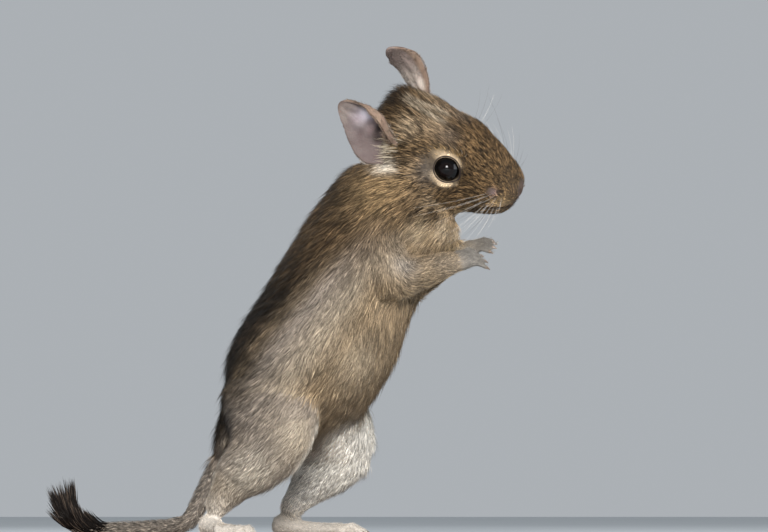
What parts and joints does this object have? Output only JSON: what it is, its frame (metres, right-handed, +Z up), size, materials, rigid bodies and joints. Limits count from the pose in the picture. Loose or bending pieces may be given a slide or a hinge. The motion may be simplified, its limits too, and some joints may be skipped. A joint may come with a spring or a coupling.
{
  "type": "degu",
  "caption": "Life-size still model of a degu rearing on its hind legs with its head lowered and rolled and its forepaws held up, on a thin wooden base.",
  "frame": {"origin": "centre of the base's underside, on the floor", "axes": "+X the way the animal faces, +Y to its left, +Z up"},
  "size_m": [0.1746, 0.104, 0.1774],
  "materials": {
    "fur": "matte agouti fur",
    "pale_fur": "matte short pale fur",
    "ear_skin": "matte thinly haired skin",
    "eye": "wet gloss",
    "tail_hair": "matte short bristly hair",
    "tuft_hair": "matte black bristles",
    "base_wood": "satin dark stained wood"
  },
  "bodies": {
    "root": {"head": "fur", "torso": "fur", "neck": "fur", "hindleg_right": "fur", "hindleg_left": "fur", "foreleg_right": "fur", "foreleg_left": "fur", "hindfoot_right": "pale_fur", "hindfoot_left": "pale_fur", "forepaw_right": "pale_fur", "forepaw_left": "pale_fur", "ear_right": "ear_skin", "ear_left": "ear_skin", "eye_right": "eye", "eye_left": "eye", "tail_root": "tail_hair", "tail_end": "tail_hair", "tail_tuft": "tuft_hair", "stand_base": "base_wood"}
  },
  "joints": []
}
